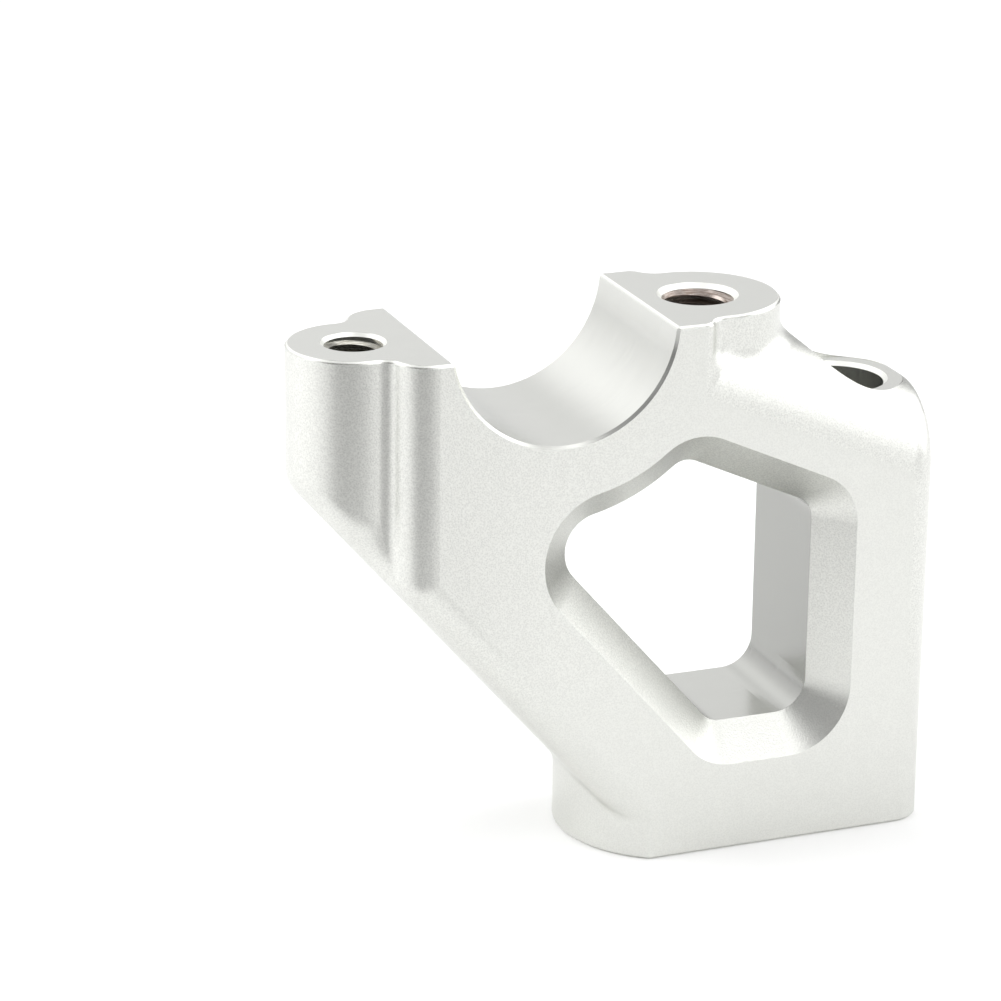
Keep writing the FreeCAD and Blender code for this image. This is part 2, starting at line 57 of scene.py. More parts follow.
class Sheet:
    """A node tree that takes nodes and links by short calls."""

    def __init__(self, tree: bpy.types.NodeTree) -> None:
        """Keep the tree.

        Args:
            tree: The tree that the nodes go into.
        """
        self.tree = tree

    def node(self, kind: str, **settings: object) -> bpy.types.Node:
        """Add a node.

        Args:
            kind: Blender's name of the node type.
            settings: Properties of the node.

        Returns:
            The new node.
        """
        item = self.tree.nodes.new(kind)
        for key, value in settings.items():
            setattr(item, key, value)
        return item

    def feed(self, socket: bpy.types.NodeSocket, value: object) -> None:
        """Give a socket a link or a constant.

        Args:
            socket: The input to feed.
            value: Another socket, a number or a tuple.
        """
        if isinstance(value, bpy.types.NodeSocket):
            self.tree.links.new(value, socket)
        else:
            socket.default_value = value

    def maths(self, operation: str, *values: object, clamp: bool = False) -> bpy.types.NodeSocket:
        """Work out one number.

        Args:
            operation: Name of the Math node's operation.
            values: Sockets or numbers that go in.
            clamp: True to keep the result between 0 and 1.

        Returns:
            The socket with the result.
        """
        item = self.node("ShaderNodeMath", operation=operation, use_clamp=clamp)
        for socket, value in zip(item.inputs, values):
            self.feed(socket, value)
        return item.outputs[0]

    def ramp(self, value: object, low: float, high: float) -> bpy.types.NodeSocket:
        """Smooth step from 0 at low to 1 at high.

        Args:
            value: Socket that is read.
            low: Value that gives 0.
            high: Value that gives 1.

        Returns:
            The socket with the step.
        """
        item = self.node("ShaderNodeMapRange", interpolation_type="SMOOTHSTEP")
        self.feed(item.inputs["Value"], value)
        self.feed(item.inputs["From Min"], low)
        self.feed(item.inputs["From Max"], high)
        return item.outputs["Result"]

    def mix(self, factor: object, first: object, second: object) -> bpy.types.NodeSocket:
        """Blend of two numbers.

        Args:
            factor: Share of the second number.
            first: Number at factor 0.
            second: Number at factor 1.

        Returns:
            The socket with the blend.
        """
        item = self.node("ShaderNodeMix", data_type="FLOAT")
        self.feed(item.inputs[0], factor)
        self.feed(item.inputs[2], first)
        self.feed(item.inputs[3], second)
        return item.outputs[0]

    def tint(self, factor: object, first: object, second: object) -> bpy.types.NodeSocket:
        """Blend of two colours.

        Args:
            factor: Share of the second colour.
            first: Colour at factor 0.
            second: Colour at factor 1.

        Returns:
            The socket with the blend.
        """
        item = self.node("ShaderNodeMix", data_type="RGBA")
        self.feed(item.inputs[0], factor)
        self.feed(item.inputs[6], first)
        self.feed(item.inputs[7], second)
        return item.outputs[2]

    def noise(self, place: object, scale: object, detail: float = 2.0) -> bpy.types.NodeSocket:
        """Cloudy noise about 0.5.

        Args:
            place: Vector socket that the noise reads.
            scale: Cells for each unit of the vector, as a number or a socket.
            detail: Number of finer layers.

        Returns:
            The socket with the noise.
        """
        item = self.node("ShaderNodeTexNoise")
        self.feed(item.inputs["Vector"], place)
        self.feed(item.inputs["Scale"], scale)
        self.feed(item.inputs["Detail"], detail)
        return item.outputs["Fac"]

    def split(self, place: object) -> tuple[bpy.types.NodeSocket, ...]:
        """Take a vector apart.

        Args:
            place: Vector socket that is read.

        Returns:
            The sockets of its three numbers.
        """
        parts = self.node("ShaderNodeSeparateXYZ")
        self.feed(parts.inputs[0], place)
        return tuple(parts.outputs)

    def span(self, first: object, second: object) -> bpy.types.NodeSocket:
        """Length of a flat vector: the root of the sum of both squares.

        Args:
            first: One number of the vector.
            second: Its other number.

        Returns:
            The socket with the length.
        """
        squares = self.maths("MULTIPLY_ADD", first, first, self.maths("MULTIPLY", second, second))
        return self.maths("SQRT", squares)

    def all_of(self, *masks: bpy.types.NodeSocket) -> bpy.types.NodeSocket:
        """Multiply masks or tones, which for masks gives 1 where each of them is 1.

        Args:
            masks: Sockets of the masks or tones.

        Returns:
            The socket with the product.
        """
        return reduce(lambda total, mask: self.maths("MULTIPLY", total, mask), masks)

    def any_of(self, *masks: bpy.types.NodeSocket) -> bpy.types.NodeSocket:
        """Take the largest of some masks, which gives 1 where any of them is 1.

        Args:
            masks: Sockets of the masks.

        Returns:
            The socket with the joint mask.
        """
        return reduce(lambda total, mask: self.maths("MAXIMUM", total, mask), masks)


class GroupMaker:
    """A shader node group under construction."""

    def __init__(self, name: str, inputs: dict[str, tuple[str, object]],
                 outputs: dict[str, str]) -> None:
        """Make the group's tree and its sockets.

        Args:
            name: Name of the group.
            inputs: Socket type and default of each input.
            outputs: Socket type of each output.
        """
        self.tree = bpy.data.node_groups.new(name, "ShaderNodeTree")
        for label, (kind, default) in inputs.items():
            socket = self.tree.interface.new_socket(label, in_out="INPUT", socket_type=kind)
            if default is not None:
                socket.default_value = default
        for label, kind in outputs.items():
            self.tree.interface.new_socket(label, in_out="OUTPUT", socket_type=kind)
        self.sheet = Sheet(self.tree)
        self.source = self.sheet.node("NodeGroupInput").outputs
        self.result = self.sheet.node("NodeGroupOutput").inputs


def blast_grain() -> bpy.types.NodeTree:
    """Build the pitted grain that glass beads leave on aluminium.

    Height is a fine noise plus PIT_SHARE times a smooth step of the distance to the nearest of
    many scattered points, which makes shallow round pits. Mottle is a slow cloud that changes
    over a few millimetres. All of them read a place in millimetres.

    Returns:
        The node group.
    """
    group = GroupMaker("blast_grain", {
        "Place": ("NodeSocketVector", None),
        "Fineness": ("NodeSocketFloat", 3.2),
    }, {"Height": "NodeSocketFloat", "Mottle": "NodeSocketFloat"})
    sheet = group.sheet
    fine = sheet.noise(group.source["Place"], group.source["Fineness"])
    pits = sheet.node("ShaderNodeTexVoronoi", feature="F1")
    sheet.feed(pits.inputs["Vector"], group.source["Place"])
    sheet.feed(pits.inputs["Scale"], group.source["Fineness"])
    depth = sheet.ramp(pits.outputs["Distance"], 0.0, PIT_REACH)
    height = sheet.maths("MULTIPLY_ADD", depth, PIT_SHARE, fine)
    sheet.feed(group.result["Height"], height)
    sheet.feed(group.result["Mottle"], sheet.noise(group.source["Place"], MOTTLE_SCALE, 3.0))
    return group.tree


def tool_marks() -> bpy.types.NodeTree:
    """Build the faint lines that a cutter leaves.

    Lines is a noise of the place vector times Stretch. It changes slowly where Stretch is small
    and fast where it is large, so it reads as fine scratches across the largest number of
    Stretch.

    Returns:
        The node group.
    """
    group = GroupMaker("tool_marks", {
        "Place": ("NodeSocketVector", None),
        "Stretch": ("NodeSocketVector", (0.2, 6.0, 0.2)),
    }, {"Lines": "NodeSocketFloat"})
    sheet = group.sheet
    stretched = sheet.node("ShaderNodeVectorMath", operation="MULTIPLY")
    sheet.feed(stretched.inputs[0], group.source["Place"])
    sheet.feed(stretched.inputs[1], group.source["Stretch"])
    sheet.feed(group.result["Lines"], sheet.noise(stretched.outputs[0], 1.0, 3.0))
    return group.tree


@dataclass(frozen=True)
class Rim:
    """Countersink of an upper hole, in millimetres from the handlebar axis."""

    centre: float
    radius: float
    level: float
    drop: float


@dataclass(frozen=True)
class RiserSizes:
    """Places on the riser that its finishes follow, in millimetres from the handlebar axis.

    The axis itself, at axis_x and axis_z, is measured from the frame's origin, and the slopes
    are in degrees. The region numbers bound the middle of the side view: it lies between
    region_front and region_rear, over region_floor, outside a circle of radius region_seat
    round the axis, and between region_brace and region_shoulder, which are measured square to
    those two slopes.
    """

    axis_x: float = -11.25
    axis_z: float = 78.5
    seat_radius: float = 16.0
    half_width: float = 13.9
    edge_break: float = 0.4
    front_top: float = -2.9
    rear_top: float = -1.0
    front_bolt: float = -25.1
    rear_bolt: float = 24.9
    front_rim: float = 4.5
    front_cut: float = 0.5
    rear_rim: float = 5.7
    rear_cut: float = 0.7
    hole_break: float = 0.6
    column_bolt: float = 46.4
    foot_bolt: float = 17.0
    spot_face: float = -15.1
    head_bore: float = 6.8
    window_bevel: float = 4.8
    window_rear: float = 39.1
    window_corner: float = 34.4
    brace_slope: float = 49.0
    shoulder_slope: float = 24.5
    region_front: float = -10.0
    region_rear: float = 40.5
    region_floor: float = -64.0
    region_brace: float = -30.5
    region_shoulder: float = -4.0
    region_seat: float = 18.0

    def rims(self) -> tuple[Rim, ...]:
        """List the countersinks of the upper holes.

        Returns:
            Those of the front and rear clamp threads and of the column's bolt.
        """
        return (Rim(self.front_bolt, self.front_rim, self.front_top, self.front_cut),
                Rim(self.rear_bolt, self.rear_rim, self.rear_top, self.rear_cut),
                Rim(self.column_bolt, self.head_bore + self.hole_break, self.spot_face,
                    self.hole_break))


@dataclass(frozen=True)
class RiserFinish:
    """Blasted aluminium whose top faces, seat, window and rims are cut after the blasting.

    The slacks, in millimetres, let a mask take in the whole of a face: round_slack on the seat
    and the sides, flat_slack on flat faces, bore_slack on the holes and wall_slack behind the
    window's rear wall. A swing is how far a pattern moves a tone or a roughness, and a floor is
    the tone that the swing starts from. roughness_drop keeps the mean near the roughness named.
    """

    name: str = "blasted_and_milled_aluminium"
    blasted_colour: tuple[float, float, float, float] = (0.70, 0.705, 0.675, 1.0)
    milled_colour: tuple[float, float, float, float] = (0.69, 0.695, 0.665, 1.0)
    blasted_roughness: float = 0.34
    milled_roughness: float = 0.25
    grain_depth: float = 0.014 * MM
    foot_level: float = -62.0
    brace_level: float = -44.0
    # Grain strengths by region: the grain is real, the spread between regions is painted light.
    rear_speck: float = 0.13
    middle_speck: float = 0.25
    form_speck: float = 0.30
    grain_fineness: float = 4.1
    # Painted shade: colour factor that darkens the window's rear wall in its recess.
    rear_wall_painted_shade: float = 0.53
    grain_middle: float = 0.83
    # Painted highlight: colour factor that lightens the broken edges and countersinks.
    rim_painted_highlight: float = 1.22
    rim_roughness: float = 0.45
    milled_relief: float = 0.05
    mark_swing: float = 0.10
    mark_floor: float = 0.93
    mottle_swing: float = 0.04
    mottle_floor: float = 0.98
    blasted_swing: float = 0.06
    milled_swing: float = 0.10
    roughness_drop: float = 0.05
    edge_share: float = 0.6
    round_slack: float = 0.05
    flat_slack: float = 0.02
    bore_slack: float = 0.03
    wall_slack: float = 0.5
    places: RiserSizes = RiserSizes()

    def milled_mask(self, sheet: Sheet, place: bpy.types.NodeSocket) -> bpy.types.NodeSocket:
        """Find the faces that are cut after blasting.

        Args:
            sheet: Tree of the material.
            place: Object coordinates in millimetres from the handlebar axis.

        Returns:
            Mask that is 1 on cut faces.
        """
        at = self.places
        x, y, z = sheet.split(place)
        reach = sheet.span(x, z)
        side = sheet.maths("ABSOLUTE", y)
        front = sheet.maths("LESS_THAN", x, 0.0)
        seat = sheet.maths("COMPARE", reach, at.seat_radius, self.round_slack)
        seat_edge = sheet.all_of(
            sheet.maths("LESS_THAN", reach, at.seat_radius + at.edge_break),
            sheet.maths("GREATER_THAN", side, at.half_width - at.edge_break))
        top_level = sheet.mix(front, at.rear_top, at.front_top)
        top = sheet.maths("GREATER_THAN", z, sheet.maths("SUBTRACT", top_level, at.edge_break))
        wall = sheet.all_of(
            sheet.maths("LESS_THAN", side, at.half_width - at.window_bevel + self.flat_slack),
            self.window_region(sheet, x, z))
        spot = sheet.all_of(sheet.maths("COMPARE", z, at.spot_face, 2 * self.flat_slack),
                            sheet.maths("GREATER_THAN", x, at.rear_bolt + at.rear_rim))
        bores = [self.inside(sheet, x, y, rim) for rim in at.rims()]
        return sheet.any_of(seat, seat_edge, top, wall, spot, *bores)

    def inside(self, sheet: Sheet, x: bpy.types.NodeSocket, y: bpy.types.NodeSocket,
               rim: Rim) -> bpy.types.NodeSocket:
        """Find what lies within an upper hole's countersink, seen from above.

        Args:
            sheet: Tree of the material.
            x: Distance behind the handlebar axis.
            y: Distance along the handlebar.
            rim: The hole's countersink.

        Returns:
            Mask that is 1 inside the countersink's circle.
        """
        bore = sheet.span(sheet.maths("SUBTRACT", x, rim.centre), y)
        return sheet.maths("LESS_THAN", bore, rim.radius + self.bore_slack)

    def window_region(self, sheet: Sheet, x: bpy.types.NodeSocket,
                      z: bpy.types.NodeSocket) -> bpy.types.NodeSocket:
        """Find the middle of the side view, which holds the window and no other cut face.

        The region lies above the base, ahead of the column's rear face, behind the line of the
        brace, below the line of the shoulder and outside the seat, each moved into the metal.

        Args:
            sheet: Tree of the material.
            x: Distance behind the handlebar axis.
            z: Height over the handlebar axis.

        Returns:
            Mask that is 1 in the region.
        """
        at = self.places
        brace, shoulder = (
            sheet.maths("MULTIPLY_ADD", x, math.sin(math.radians(slope)),
                        sheet.maths("MULTIPLY", z, math.cos(math.radians(slope))))
            for slope in (at.brace_slope, at.shoulder_slope))
        return sheet.all_of(
            sheet.maths("LESS_THAN", x, at.region_rear),
            sheet.maths("GREATER_THAN", x, at.region_front),
            sheet.maths("GREATER_THAN", z, at.region_floor),
            sheet.maths("GREATER_THAN", brace, at.region_brace),
            sheet.maths("LESS_THAN", shoulder, at.region_shoulder),
            sheet.maths("GREATER_THAN", sheet.span(x, z), at.region_seat))

    def grain_and_painted_light_depth(self, sheet: Sheet, place: bpy.types.NodeSocket) -> bpy.types.NodeSocket:
        """Work out how strongly the grain darkens and lightens the metal.

        The base and the rear of the flat sides are specked least, and the sides more towards the
        seat; the lobes, bevels and rounds are specked most. The grain is the metal's own, but this
        spread between regions is painted light, strongest where the light shows the grain most.

        Args:
            sheet: Tree of the material.
            place: Object coordinates in millimetres from the handlebar axis.

        Returns:
            Strength of the specks.
        """
        x, y, z = sheet.split(place)
        flat = sheet.maths("GREATER_THAN", sheet.maths("ABSOLUTE", y),
                           self.places.half_width - self.round_slack)
        rearward = sheet.ramp(x, 0.0, self.places.rear_bolt)
        upper = sheet.mix(flat, self.form_speck,
                          sheet.mix(rearward, self.middle_speck, self.rear_speck))
        return sheet.mix(sheet.ramp(z, self.foot_level, self.brace_level), self.rear_speck, upper)

    def rim_and_highlight_mask(self, sheet: Sheet, place: bpy.types.NodeSocket) -> bpy.types.NodeSocket:
        """Find the broken edges of the two top faces and the countersinks of the upper holes, which
        get their own roughness and a painted highlight.

        Args:
            sheet: Tree of the material.
            place: Object coordinates in millimetres from the handlebar axis.

        Returns:
            Mask that is 1 on the edges and countersinks.
        """
        at = self.places
        x, y, z = sheet.split(place)
        cones = [sheet.all_of(sheet.maths("LESS_THAN", z, rim.level - self.flat_slack),
                              sheet.maths("GREATER_THAN", z, rim.level - rim.drop),
                              self.inside(sheet, x, y, rim)) for rim in at.rims()]
        level = sheet.mix(sheet.maths("LESS_THAN", x, 0.0), at.rear_top, at.front_top)
        under = sheet.maths("SUBTRACT", level, z)
        edge = sheet.all_of(sheet.maths("GREATER_THAN", under, self.flat_slack),
                            sheet.maths("LESS_THAN", under, at.edge_break * self.edge_share))
        return sheet.any_of(*cones, edge)

    def rear_wall_shade_mask(self, sheet: Sheet, place: bpy.types.NodeSocket) -> bpy.types.NodeSocket:
        """Find the window's rear wall, whose painted shade makes it darker than the window's other
        walls.

        Args:
            sheet: Tree of the material.
            place: Object coordinates in millimetres from the handlebar axis.

        Returns:
            Mask that rises from 0 to 1 round the corner between the window's floor and the wall.
        """
        at = self.places
        x, y, z = sheet.split(place)
        inner = sheet.maths("LESS_THAN", sheet.maths("ABSOLUTE", y),
                            at.half_width - at.window_bevel + self.flat_slack)
        ahead = sheet.maths("LESS_THAN", x, at.window_rear + self.wall_slack)
        return sheet.all_of(inner, sheet.ramp(x, at.window_corner, at.window_rear), ahead,
                            self.window_region(sheet, x, z))

    def make(self, groups: dict[str, bpy.types.NodeTree]) -> bpy.types.Material:
        """Build the material.

        Args:
            groups: The shared node groups by name.

        Returns:
            The material.
        """
        material = bpy.data.materials.new(self.name)
        material.use_nodes = True
        sheet = Sheet(material.node_tree)
        shader = material.node_tree.nodes["Principled BSDF"]
        coordinates = sheet.node("ShaderNodeTexCoord").outputs["Object"]
        mapping = sheet.node("ShaderNodeMapping")
        sheet.feed(mapping.inputs["Vector"], coordinates)
        mapping.inputs["Scale"].default_value = (1 / MM, 1 / MM, 1 / MM)
        mapping.inputs["Location"].default_value = (-self.places.axis_x, 0.0, -self.places.axis_z)
        place = mapping.outputs[0]
        milled = self.milled_mask(sheet, place)

        grain = sheet.node("ShaderNodeGroup", node_tree=groups["blast_grain"])
        sheet.feed(grain.inputs["Place"], place)
        grain.inputs["Fineness"].default_value = self.grain_fineness
        marks = sheet.node("ShaderNodeGroup", node_tree=groups["tool_marks"])
        sheet.feed(marks.inputs["Place"], place)

        pitted = sheet.maths("MULTIPLY_ADD", self.grain_and_painted_light_depth(sheet, place), sheet.maths(
            "SUBTRACT", grain.outputs["Height"], self.grain_middle), 1.0)
        scored = sheet.maths("MULTIPLY_ADD", marks.outputs["Lines"], self.mark_swing,
                             self.mark_floor)
        mottle = sheet.maths("MULTIPLY_ADD", grain.outputs["Mottle"], self.mottle_swing,
                             self.mottle_floor)
        # Mask of the edges and countersinks, for their roughness and their painted highlight.
        rims = self.rim_and_highlight_mask(sheet, place)
        tone = sheet.all_of(
            sheet.mix(milled, pitted, scored), mottle,
            # painted shade on the window's rear wall
            sheet.mix(self.rear_wall_shade_mask(sheet, place), 1.0, self.rear_wall_painted_shade),
            # painted highlight on the broken edges and countersinks
            sheet.mix(rims, 1.0, self.rim_painted_highlight))
        colour = sheet.tint(milled, self.blasted_colour, self.milled_colour)
        toned = sheet.node("ShaderNodeVectorMath", operation="SCALE")
        sheet.feed(toned.inputs[0], colour)
        sheet.feed(toned.inputs["Scale"], tone)
        sheet.feed(shader.inputs["Base Color"], toned.outputs[0])

        blasted = sheet.maths("MULTIPLY_ADD", grain.outputs["Height"], self.blasted_swing,
                              self.blasted_roughness - self.roughness_drop)
        cut = sheet.maths("MULTIPLY_ADD", marks.outputs["Lines"], self.milled_swing,
                          self.milled_roughness - self.roughness_drop)
        sheet.feed(shader.inputs["Roughness"],
                   sheet.mix(rims, sheet.mix(milled, blasted, cut), self.rim_roughness))
        shader.inputs["Metallic"].default_value = 1.0

        bump = sheet.node("ShaderNodeBump")
        sheet.feed(bump.inputs["Strength"], sheet.mix(milled, 1.0, self.milled_relief))
        bump.inputs["Distance"].default_value = self.grain_depth
        sheet.feed(bump.inputs["Height"], grain.outputs["Height"])
        sheet.feed(shader.inputs["Normal"], bump.outputs[0])
        return material


@dataclass(frozen=True)
class ThreadFinish:
    """Tapped aluminium, darker than the riser's metal as painted shade inside the hole, with
    darker patches and rings that run round the hole.

    The darker patch is the larger of two smooth steps: one of the slow cloud, between the numbers
    of cloud_edge, and one of the fine lines, between those of line_edge.
    """

    name: str = "tapped_aluminium"
    # Darker than the riser's metal: painted shade inside the hole.
    colour: tuple[float, float, float, float] = (0.46, 0.45, 0.41, 1.0)
    # Colour of the darker patches and rings round the hole.
    patch_colour: tuple[float, float, float, float] = (0.30, 0.29, 0.25, 1.0)
    roughness: float = 0.26
    line_stretch: tuple[float, float, float] = (0.6, 0.6, 9.0)
    cloud_edge: tuple[float, float] = (0.50, 0.65)
    line_edge: tuple[float, float] = (0.44, 0.60)
    roughness_swing: float = 0.2
    line_depth: float = 0.004 * MM

    def make(self, groups: dict[str, bpy.types.NodeTree]) -> bpy.types.Material:
        """Build the material.

        Args:
            groups: The shared node groups by name.

        Returns:
            The material.
        """
        material = bpy.data.materials.new(self.name)
        material.use_nodes = True
        sheet = Sheet(material.node_tree)
        shader = material.node_tree.nodes["Principled BSDF"]
        mapping = sheet.node("ShaderNodeMapping")
        sheet.feed(mapping.inputs["Vector"], sheet.node("ShaderNodeTexCoord").outputs["Object"])
        mapping.inputs["Scale"].default_value = (1 / MM, 1 / MM, 1 / MM)
        grain = sheet.node("ShaderNodeGroup", node_tree=groups["blast_grain"])
        sheet.feed(grain.inputs["Place"], mapping.outputs[0])
        marks = sheet.node("ShaderNodeGroup", node_tree=groups["tool_marks"])
        sheet.feed(marks.inputs["Place"], mapping.outputs[0])
        marks.inputs["Stretch"].default_value = self.line_stretch
        dark_patch = sheet.any_of(sheet.ramp(grain.outputs["Mottle"], *self.cloud_edge),
                             sheet.ramp(marks.outputs["Lines"], *self.line_edge))
        sheet.feed(shader.inputs["Base Color"], sheet.tint(dark_patch, self.colour, self.patch_colour))
        sheet.feed(shader.inputs["Roughness"], sheet.maths(
            "MULTIPLY_ADD", marks.outputs["Lines"], self.roughness_swing,
            self.roughness - self.roughness_swing / 2))
        shader.inputs["Metallic"].default_value = 1.0
        bump = sheet.node("ShaderNodeBump")
        bump.inputs["Strength"].default_value = 1.0
        bump.inputs["Distance"].default_value = self.line_depth
        sheet.feed(bump.inputs["Height"], marks.outputs["Lines"])
        sheet.feed(shader.inputs["Normal"], bump.outputs[0])
        return material


@dataclass(frozen=True)
class FloorFinish:
    """Matt white studio floor with a dimmer wedge of painted shade, a darker base colour that the
    riser's front lobe mirrors.

    The wedge opens from the origin towards dim_azimuth. It is the product of two smooth steps:
    one of the cosine between the place and that direction, between the numbers of wedge_edge,
    and one of the distance in metres, between those of wedge_reach.
    """

    name: str = "white_studio_floor"
    colour: tuple[float, float, float, float] = (0.92, 0.92, 0.92, 1.0)
    # Painted shade: darker floor colour in the wedge.
    dim_colour: tuple[float, float, float, float] = (0.45, 0.45, 0.45, 1.0)
    dim_azimuth: float = -120.0
    wedge_edge: tuple[float, float] = (0.76, 0.94)
    wedge_reach: tuple[float, float] = (0.06, 0.13)
    roughness: float = 0.9
    gloss: float = 0.1

    def make(self) -> bpy.types.Material:
        """Build the material.

        Returns:
            The material.
        """
        material = bpy.data.materials.new(self.name)
        material.use_nodes = True
        sheet = Sheet(material.node_tree)
        shader = material.node_tree.nodes["Principled BSDF"]
        place = sheet.node("ShaderNodeTexCoord").outputs["Object"]
        turn = math.radians(self.dim_azimuth)
        away = sheet.node("ShaderNodeVectorMath", operation="NORMALIZE")
        sheet.feed(away.inputs[0], place)
        facing = sheet.node("ShaderNodeVectorMath", operation="DOT_PRODUCT")
        sheet.feed(facing.inputs[0], away.outputs[0])
        facing.inputs[1].default_value = (math.cos(turn), math.sin(turn), 0.0)
        reach = sheet.node("ShaderNodeVectorMath", operation="LENGTH")
        sheet.feed(reach.inputs[0], place)
        dim = sheet.all_of(sheet.ramp(facing.outputs["Value"], *self.wedge_edge),
                           sheet.ramp(reach.outputs["Value"], *self.wedge_reach))
        sheet.feed(shader.inputs["Base Color"], sheet.tint(dim, self.colour, self.dim_colour))
        shader.inputs["Roughness"].default_value = self.roughness
        shader.inputs["Specular IOR Level"].default_value = self.gloss
        return material


def surface(name: str, grid: np.ndarray) -> bpy.types.Object:
    """Make a closed mesh from rings of points.

    Point (i, j) of the grid is the j-th corner of the i-th ring, whose last corner joins its
    first. Each ring is joined to the next by four-sided faces, and the first and last rings are
    closed by one face each.

    Args:
        name: Name of the new object.
        grid: Points in metres, with shape (rings, corners, 3).

    Returns:
        The new object, linked to the scene.
    """
    rings, corners = grid.shape[:2]
    index = np.arange(rings * corners).reshape(rings, corners)
    after = np.roll(index, -1, axis=1)
    quads = np.stack([index[:-1], index[1:], after[1:], after[:-1]], axis=-1).reshape(-1, 4)
    faces = quads.tolist() + [index[0].tolist(), index[-1][::-1].tolist()]
    mesh = bpy.data.meshes.new(name)
    mesh.from_pydata(grid.reshape(-1, 3).tolist(), [], faces)
    mesh.update()
    piece = bpy.data.objects.new(name, mesh)
    bpy.context.scene.collection.objects.link(piece)
    return piece


@dataclass
class TappedHole:
    """Internal thread of one bolt hole, as a ridge that winds down its wall.

    The ridge keeps the metric form: flanks 60 degrees apart, a crest as wide as a quarter of
    the pitch, a base as wide as 7/8 of it, and a depth of 5/8 of the sharp height. The
    countersink cuts its first turns back, as it does on the real thread.

    Lengths are in millimetres, and start, the angle of the first ring, is in degrees. Each turn
    has that number of steps. The base stands in the metal by sink, and no point lies less than
    cover below the mouth. Towards each end the ridge thins out: its height rises from
    tip_height by run_in for each turn, and its width from tip_width, all as shares of the full
    height and width.
    """

    name: str
    centre: tuple[float, float]
    mouth_level: float
    mouth: Mouth
    rim_radius: float
    major_radius: float
    pitch: float
    start: float
    lead_in: float
    length: float
    finish: ThreadFinish
    steps: int = 72
    sink: float = 0.03
    cover: float = 0.05
    run_in: float = 3.0
    tip_height: float = 0.04
    tip_width: float = 0.25

    def ridge(self) -> np.ndarray:
        """Work out the ridge's points.

        The turns done run from 0 to all turns and the corner number round the cross-section.
        The depth is the lead-in plus pitch times the turns done plus the corner's own offset
        times the width, but never less than cover. The radius is the wall's, less the corner's
        height times a run that grows to 1 over the first third of a turn and falls again at the
        end, but never less than the countersink's own radius at that depth.

        Returns:
            Points in metres, with shape (rings, corners, 3).
        """
        turns = self.length / self.pitch
        rings = int(turns * self.steps) + 1
        done = np.linspace(0.0, turns, rings)
        full = self.pitch * math.sqrt(3) / 2 * 5 / 8
        base = self.pitch * 7 / 16
        crest = self.pitch / 8
        offsets = np.array([-base, base, crest, -crest])
        heights = np.array([-self.sink, -self.sink, full, full])
        run = np.clip(np.minimum(done, turns - done) * self.run_in + self.tip_height, 0.0, 1.0)
        width = self.tip_width + (1.0 - self.tip_width) * run[:, None]
        depth = self.lead_in + self.pitch * done[:, None] + offsets[None, :] * width
        depth = np.maximum(depth, self.cover)
        radius = self.major_radius - np.where(heights > 0, heights * run[:, None], heights)
        radius = np.maximum(radius, self.rim_radius + self.sink - depth)
        turn = math.radians(self.start) - self.mouth.value * 2 * math.pi * done[:, None]
        level = self.mouth_level - self.mouth.value * depth
        points = np.stack([
            self.centre[0] + radius * np.cos(turn),
            self.centre[1] + radius * np.sin(turn),
            level,
        ], axis=-1)
        return points * MM

    def build(self, groups: dict[str, bpy.types.NodeTree]) -> bpy.types.Object:
        """Make the thread and dress it.

        Args:
            groups: The shared node groups by name.

        Returns:
            The thread's object.
        """
        piece = surface(self.name, self.ridge())
        piece.data.materials.append(self.finish.make(groups))
        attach(piece, "root")
        return piece


@dataclass
class Riser:
    """The riser's own solid with its finish, and the threads in its three tapped holes."""

    node: str = "riser_body"
    places: RiserSizes = field(default_factory=RiserSizes)
    finish: RiserFinish = field(default_factory=RiserFinish)
    plain_thread: ThreadFinish = field(default_factory=ThreadFinish)
    # Brownish, darker thread finish of the rear hole; its base colour also holds painted shade
    # inside the hole.
    brownish_thread: ThreadFinish = ThreadFinish(
        "brownish_tapped_aluminium", (0.40, 0.35, 0.32, 1.0), (0.22, 0.175, 0.15, 1.0), 0.30)

    def holes(self) -> list[TappedHole]:
        """List the tapped holes.

        Returns:
            Front and rear clamp holes, which open upwards, and the foot's, which opens downwards.
        """
        at = self.places
        axis = at.axis_x
        return [
            TappedHole("front_clamp_thread", (axis + at.front_bolt, 0.0),
                       at.axis_z + at.front_top, Mouth.UP, at.front_rim, 4.0, 1.25, 110.0, 0.15,
                       18.2, self.plain_thread),
            TappedHole("rear_clamp_thread", (axis + at.rear_bolt, 0.0),
                       at.axis_z + at.rear_top, Mouth.UP, at.rear_rim, 5.0, 1.5, -17.0, 0.15,
                       14.4, self.brownish_thread),
            TappedHole("foot_thread", (axis + at.foot_bolt, 0.0), 0.0, Mouth.DOWN, 4.0, 4.0,
                       1.25, 0.0, 1.0, 7.0, self.plain_thread),
        ]

    def build(self, groups: dict[str, bpy.types.NodeTree]) -> list[bpy.types.Object]:
        """Dress the solid and add its threads.

        Args:
            groups: The shared node groups by name.

        Returns:
            The solid and the threads.
        """
        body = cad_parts[self.node]
        metal = self.finish.make(groups)
        for place in body.material_slots:
            place.material = metal
        return [body] + [hole.build(groups) for hole in self.holes()]


def direction(azimuth: float, elevation: float) -> tuple[float, float, float]:
    """Work out a direction from its angles.

    Its numbers are the azimuth's cosine times the elevation's, the azimuth's sine times the
    elevation's cosine, and the elevation's sine.

    Args:
        azimuth: Degrees from +X towards +Y.
        elevation: Degrees above the floor.

    Returns:
        Unit vector that points away from the riser.
    """
    turn, lift = math.radians(azimuth), math.radians(elevation)
    return (math.cos(turn) * math.cos(lift), math.sin(turn) * math.cos(lift), math.sin(lift))


